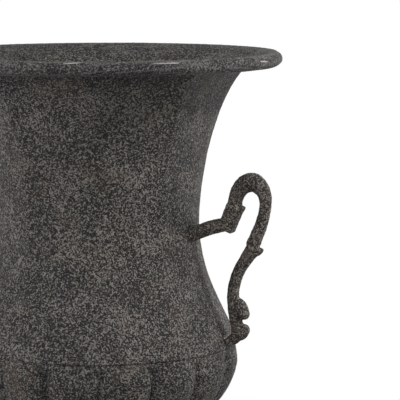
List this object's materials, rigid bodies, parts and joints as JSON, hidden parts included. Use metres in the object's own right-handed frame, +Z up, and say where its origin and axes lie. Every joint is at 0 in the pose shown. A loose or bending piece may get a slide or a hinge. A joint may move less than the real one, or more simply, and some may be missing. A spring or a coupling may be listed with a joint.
{
  "type": "urn planter",
  "caption": "Campana garden urn with a rolled rim, flared panelled neck, lobed bowl, scroll handles, a round pedestal and a square plinth, for planting.",
  "frame": {"origin": "middle of the plinth's underside, on the ground", "axes": "+Z up, the two handles on +X and -X"},
  "size_m": [0.4009, 0.401, 0.6],
  "materials": {
    "rim_iron": "rough sand-cast, dark charcoal with pale grains and streaks",
    "neck_iron": "rough sand-cast, dark charcoal with pale grains",
    "bowl_iron": "rough sand-cast, dark charcoal with pale grains and faint rust",
    "handle_iron": "rough sand-cast, charcoal rubbed to brown on the crook",
    "foot_iron": "rough sand-cast, dark charcoal with pale grains",
    "bare_steel": "dulled zinc-plated steel"
  },
  "bodies": {
    "root": {"rim_roll": "rim_iron", "rim_wire": "bare_steel", "neck_bell": "neck_iron", "lobed_bowl": "bowl_iron", "shoulder_bolts": "bare_steel", "shoulder_washers": "bare_steel", "shoulder_nuts": "bare_steel", "handle_right": "handle_iron", "handle_left": "handle_iron", "handle_arm_screws": "bare_steel", "handle_foot_screws": "bare_steel", "handle_washers": "bare_steel", "pedestal": "foot_iron", "plinth": "foot_iron", "tie_bar": "bare_steel", "tie_rod": "bare_steel", "tie_rod_top_washer": "bare_steel", "tie_rod_top_nut": "bare_steel", "tie_rod_bottom_washer": "bare_steel", "tie_rod_bottom_nut": "bare_steel"}
  },
  "joints": []
}
